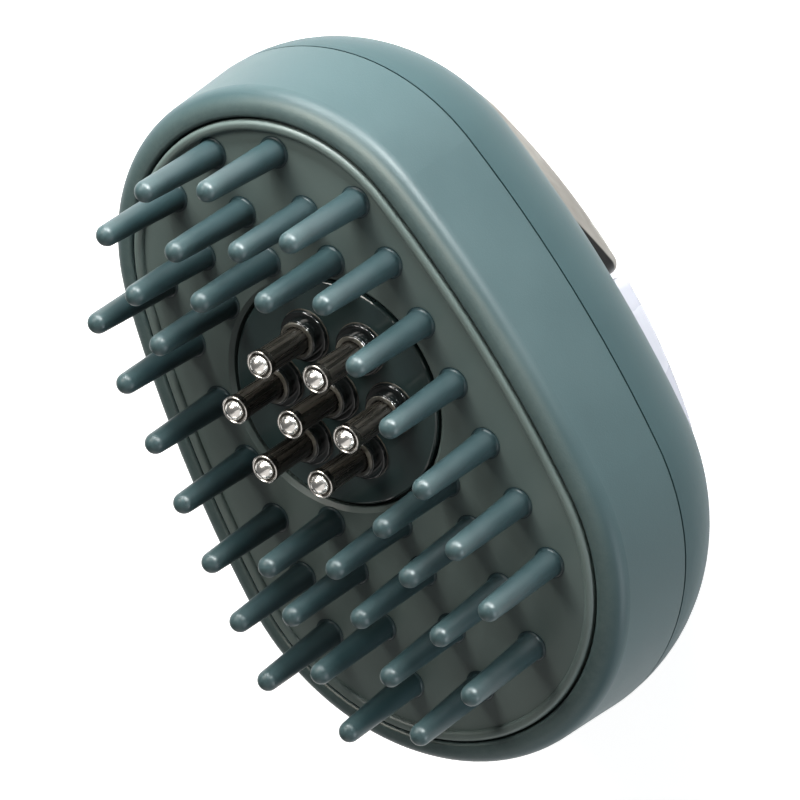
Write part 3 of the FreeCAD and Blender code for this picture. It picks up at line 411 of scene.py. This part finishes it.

# each probe stands in a stepped black collar with a smoky liner and a thin cream washer at its foot;
# the washer's light colour is a painted highlight on the collar's outer edge
collar = {
    "seat": 37.5, "bore": 1.78, "liner": 2.46, "linerSeat": 38.4, "linerTop": 39.62,
    "ringStep": 0.5, "wall": 2.62, "wallTop": 39.45, "ring": 3.42, "ringTop": 38.2,
    "round": 0.2, "roundSteps": 5, "lip": 0.1, "lipSteps": 3,
    "highlightWasher": 3.55, "highlightWasherTop": 37.6, "highlightWasherLap": 0.1, "highlightWasherTaper": 0.03, "steps": 64,
}
ringBore = collar["bore"] + collar["ringStep"]
highlightWasherBore = collar["ring"] - collar["highlightWasherLap"]
ringOutline = (
    [(ringBore, collar["seat"]), (collar["ring"], collar["seat"])]
    + arcPoints((collar["ring"] - collar["round"], collar["ringTop"] - collar["round"]),
                collar["round"], 0, 90, collar["roundSteps"])
    + [(collar["wall"], collar["ringTop"])]
    + arcPoints((collar["wall"] - collar["lip"], collar["wallTop"] - collar["lip"]),
                collar["lip"], 0, 90, collar["lipSteps"])
    + [(ringBore, collar["wallTop"])])
linerOutline = (
    [(collar["bore"], collar["linerSeat"]), (collar["liner"], collar["linerSeat"])]
    + arcPoints((collar["liner"] - collar["round"], collar["linerTop"] - collar["round"]),
                collar["round"], 0, 90, collar["roundSteps"])
    + arcPoints((collar["bore"] + collar["round"], collar["linerTop"] - collar["round"]),
                collar["round"], 90, 180, collar["roundSteps"]))
highlightWasherOutline = [
    (highlightWasherBore, collar["seat"]), (collar["highlightWasher"], collar["seat"]),
    (collar["highlightWasher"] - collar["highlightWasherTaper"], collar["highlightWasherTop"]), (highlightWasherBore, collar["highlightWasherTop"])]
probePlaces = islandMiddles("probe_collars")
probeRings = turnedPieces("probeRings", ringOutline, probePlaces, collar["steps"],
                          finishes["collar"], True)
probeLiners = turnedPieces("probeLiners", linerOutline, probePlaces, collar["steps"],
                           finishes["sleeve"], True)
# the cream washers are a painted highlight round each collar's foot
probeHighlightWashers = turnedPieces("probeHighlightWashers", highlightWasherOutline, probePlaces, collar["steps"],
                            finishes["sleeve"], True)
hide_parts("probe_collars")
for piece in (probeRings, probeLiners, probeHighlightWashers):
    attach(piece, "head")
print("turned pieces made:", len(scalpTeeth.data.polygons), "tooth faces,", len(probePlaces), "probes")

# a wire coil behind each ball, which in the real thing is pressed flat as its ball goes in
coil = {"wire": 0.14, "wireSides": 8, "radius": 1.1, "turns": 3, "seat": 43.97, "length": 1.9,
        "steps": 96, "sharp": 60, "pressed": 0.66}
coilRise = (coil["length"] - 2 * coil["wire"]) * mm / coil["steps"]  # for each step of the spin
for number in ballNumbers:
    low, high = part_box("ball_spring_%d" % number)
    middle = Vector(((low[0] + high[0]) / 2, (low[1] + high[1]) / 2, 0))
    bm = bmesh.new()
    start = Matrix.Translation(middle + Vector((coil["radius"], 0, coil["seat"] + coil["wire"])) * mm)
    bmesh.ops.create_circle(bm, segments=coil["wireSides"], radius=coil["wire"] * mm,
                            matrix=start @ Matrix.Rotation(math.pi / 2, 4, "X"))
    bmesh.ops.spin(bm, geom=list(bm.verts) + list(bm.edges), cent=middle, axis=(0, 0, 1),
                   dvec=(0, 0, coilRise), angle=2 * math.pi * coil["turns"], steps=coil["steps"])
    openEnds = [edge for edge in bm.edges if edge.is_boundary]
    bmesh.ops.holes_fill(bm, edges=openEnds, sides=coil["wireSides"])
    bmesh.ops.recalc_face_normals(bm, faces=bm.faces)
    ballCoil = addPiece("ballCoil%d" % number, bm, finishes["steel"], coil["sharp"])
    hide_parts("ball_spring_%d" % number)
    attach(ballCoil, "head")
    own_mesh(ballCoil)

# the rubber dome over the switch, pressed by the paddle
dome = {
    "middle": (0, 9.5), "crown": 7.6, "foot": 9.6, "seat": 10.2, "top": 2.4, "side": 3.2,
    "flange": 4.2, "wall": 0.7, "innerEase": 0.1, "round": 0.35, "roundEnd": 345, "roundSteps": 5,
    "steps": 56, "pressed": 0.57,
}
innerCrown = dome["crown"] + dome["wall"]
domeOutline = (
    [(0, dome["crown"])]
    + arcPoints((dome["top"] - dome["round"], dome["crown"] + dome["round"]), dome["round"],
                270, dome["roundEnd"], dome["roundSteps"])
    + [(dome["side"], dome["foot"]), (dome["flange"], dome["foot"]), (dome["flange"], dome["seat"]),
       (dome["side"] - dome["wall"], dome["seat"]),
       (dome["top"] - dome["wall"] + dome["innerEase"], innerCrown), (0, innerCrown)])
switchDome = turnedPieces("switchDome", domeOutline, [[part * mm for part in dome["middle"]]],
                          dome["steps"], finishes["rubber"])
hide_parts("switch_boot")
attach(switchDome, "housing")
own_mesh(switchDome)
print("coils and dome made")


# one object of blocks with rounded edges, each given by its middle and size in millimetres
def bevelledBlocks(name, blocks, edge, finish):
    bm = bmesh.new()
    for middle, size in blocks:
        made = bmesh.ops.create_cube(bm, size=1)
        place = Matrix.Translation(Vector(middle) * mm) @ Matrix.Diagonal((*(Vector(size) * mm), 1))
        bmesh.ops.transform(bm, matrix=place, verts=made["verts"])
    bmesh.ops.bevel(bm, geom=list(bm.edges), offset=edge * mm, affect="EDGES", segments=3,
                    profile=0.5, material=-1)
    piece = addPiece(name, bm, finish)
    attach(piece, "housing")


# inside the charging socket: a black tongue with a row of gilt contacts on each face
socket = {
    "width": 6.2, "thick": 0.7, "reach": 5.2, "back": 0.9, "edge": 0.15,
    "contact": (0.32, 3.0, 0.06), "contactEdge": 0.015, "setback": 0.5, "pitch": 0.5, "contacts": 12,
}
socketLow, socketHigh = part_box("charging_socket")
socketMiddle = [(low + high) / 2 / mm for low, high in zip(socketLow, socketHigh)]
tongueY = socketHigh[1] / mm - socket["back"] - socket["reach"] / 2
tongueFront = tongueY - socket["reach"] / 2
tongue = ((socketMiddle[0], tongueY, socketMiddle[2]),
          (socket["width"], socket["reach"], socket["thick"]))
bevelledBlocks("socketTongue", [tongue], socket["edge"], finishes["collar"])
contactPlaces = [(socketMiddle[0] + (number - (socket["contacts"] - 1) / 2) * socket["pitch"],
                  tongueFront + socket["setback"] + socket["contact"][1] / 2,
                  socketMiddle[2] + side * socket["thick"] / 2)
                 for number in range(socket["contacts"]) for side in (-1, 1)]
bevelledBlocks("socketContacts", [(place, socket["contact"]) for place in contactPlaces],
               socket["contactEdge"], finishes["gilt"])
print("socket filled with", len(contactPlaces), "contacts")

# four softboxes light the part; a card, a strip and a band are there only to be mirrored
lamps = {
    "low": {"place": (0.11, 0.25, 0.07), "size": (0.2, 0.09), "power": 2.35, "tint": (0.97, 1, 1)},
    "high": {"place": (0.02, 0.6, 0.48), "size": (0.4, 0.3), "power": 4.6, "tint": (1, 0.96, 0.9)},
    "back": {"place": (-0.4, -0.62, 0.34), "size": (0.4, 0.3), "power": 0.5, "tint": (1, 0.98, 0.95)},
    "side": {"place": (0.55, -0.6, 0.1), "size": (0.5, 0.18), "power": 4.2, "tint": (0.86, 0.95, 1)},
    "card": {"place": (0.1, -0.75, 0.75), "size": (3, 1.25), "power": 9, "tint": (1, 0.965, 0.945)},
    "strip": {"place": (0.63, 0.36, 0.05), "size": (0.34, 0.08), "power": 23, "tint": (0.95, 1, 1)},
    "band": {"place": (0.19, 0.315, 0.58), "size": (0.62, 0.05), "power": 18, "tint": (1, 0.95, 0.81)},
}
studio = {"aim": (0, 0.01, 0.03), "air": 0.16}


def addSoftbox(name):
    lamp = bpy.data.lights.new(name, "AREA")
    lamp.shape = "RECTANGLE"
    lamp.size, lamp.size_y = lamps[name]["size"]
    lamp.energy = lamps[name]["power"]
    lamp.color = lamps[name]["tint"]
    holder = bpy.data.objects.new(name + "Softbox", lamp)
    bpy.context.scene.collection.objects.link(holder)
    place = Vector(lamps[name]["place"])
    aim = Vector(studio["aim"]) - place
    holder.matrix_world = Matrix.Translation(place) @ aim.to_track_quat("-Z", "Y").to_matrix().to_4x4()
    holder.visible_camera = False
    return holder


softboxes = {name: addSoftbox(name) for name in lamps}
for name in ("card", "strip", "band"):
    softboxes[name].visible_diffuse = False  # seen in the balls, on the rim's ridge and on its top
rimOnly = bpy.data.collections.new("rimOnly")
rimOnly.objects.link(nodes["front_shell"])
softboxes["band"].light_linking.receiver_collection = rimOnly  # the warm band is for the rim alone

air = bpy.data.worlds.new("studioAir")
air.use_nodes = True
air.node_tree.nodes["Background"].inputs["Color"].default_value = (1, 1, 1, 1)
air.node_tree.nodes["Background"].inputs["Strength"].default_value = studio["air"]
bpy.context.scene.world = air
bpy.context.scene.view_settings.view_transform = "Standard"

# a pale floor just under the panel, with a glow that keeps it near white
floorLook = {
    "size": 6.0, "drop": -0.0004, "glow": 0.77, "gloss": 0.9, "dark": (0.80, 0.80, 0.80),
    "light": (0.83, 0.83, 0.83), "stops": (0.3, 0.7), "cloudScale": 3.0,
}
floorFinish, tree, shader, place = newFinish("paleFloor")
floorCloud = addNoise(tree, place, floorLook["cloudScale"], plainLook["cloudDetail"],
                      plainLook["cloudRoughness"])
floorColour = addRamp(tree, floorCloud, floorLook["stops"], (floorLook["dark"], floorLook["light"]))
tree.links.new(floorColour, shader.inputs["Base Color"])
shader.inputs["Roughness"].default_value = floorLook["gloss"]
shader.inputs["Emission Color"].default_value = (1, 1, 1, 1)
shader.inputs["Emission Strength"].default_value = floorLook["glow"]
bm = bmesh.new()
bmesh.ops.create_grid(bm, x_segments=1, y_segments=1, size=floorLook["size"])
floor = addPiece("floor", bm, floorFinish)
floor.location.z = floorLook["drop"]

# the photograph's viewpoint
view = {
    "place": (0.32994, 0.06363, 0.40462), "lens": 178.0972, "sensor": 36, "nearest": 0.01,
    "right": (0.7101, -0.4447, -0.5459), "up": (0.2639, 0.8869, -0.3792),
    "back": (0.6528, 0.1252, 0.7471),
}
lensData = bpy.data.cameras.new("photoCamera")
lensData.sensor_width = view["sensor"]
lensData.lens = view["lens"]
lensData.clip_start = view["nearest"]
camera = bpy.data.objects.new("photoCamera", lensData)
bpy.context.scene.collection.objects.link(camera)
cameraTurn = Matrix((view["right"], view["up"], view["back"])).transposed().to_4x4()
camera.matrix_world = Matrix.Translation(view["place"]) @ cameraTurn
bpy.context.scene.camera = camera
print("studio and camera set")
